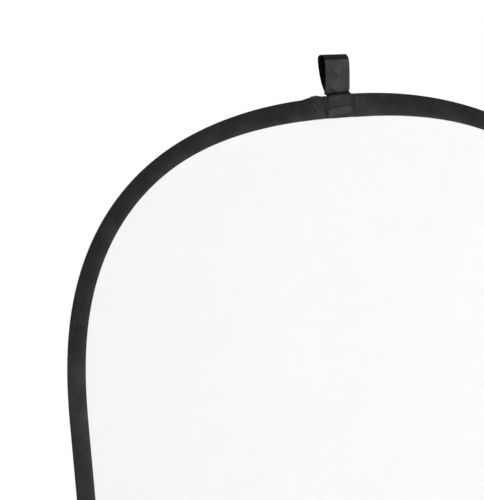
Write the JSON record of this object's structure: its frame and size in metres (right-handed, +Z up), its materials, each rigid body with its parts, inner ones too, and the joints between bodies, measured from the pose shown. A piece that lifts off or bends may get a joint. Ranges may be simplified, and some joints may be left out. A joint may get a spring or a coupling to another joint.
{
  "type": "collapsible light reflector",
  "caption": "Collapsible oval light reflector: taut white and silver fabric faces on a sprung steel hoop, with a folded black tape rim and a fabric loop to hang it by.",
  "frame": {"origin": "where a hook bears inside the top of the hanging loop, in the middle of the panel's width and thickness", "axes": "+Z up along the panel's height, +X along its width, -Y out of the white face and +Y out of the silver face"},
  "size_m": [1, 0.0376, 1.5729],
  "materials": {
    "strap_nylon": "black woven nylon, matt",
    "tail_nylon": "black woven nylon, matt, stitched",
    "binding_tape": "black polyester tape, matt",
    "cover_tape": "black polyester tape, matt",
    "spring_steel": "blued spring steel, satin",
    "plated_steel": "zinc-plated steel, crimped",
    "shrink_tube": "black shrunk polymer tube",
    "white_nylon": "matt white woven nylon",
    "silver_fabric": "silver metallised woven fabric, satin sheen"
  },
  "bodies": {
    "loop": {"hang_loop": "strap_nylon"},
    "panel": {"loop_tail_front": "tail_nylon", "loop_tail_back": "tail_nylon", "hoop_band": "spring_steel", "hoop_ferrule": "plated_steel", "ferrule_sleeve": "shrink_tube", "white_face": "white_nylon", "silver_face": "silver_fabric", "rim_binding": "binding_tape", "joint_cover": "cover_tape"}
  },
  "joints": [
    {"name": "loop_fold", "type": "hinge", "parent": "loop", "child": "panel", "pos_m": [0, 0, -0.063], "axis": [1, 0, 0], "range_deg": [-90, 90]}
  ]
}
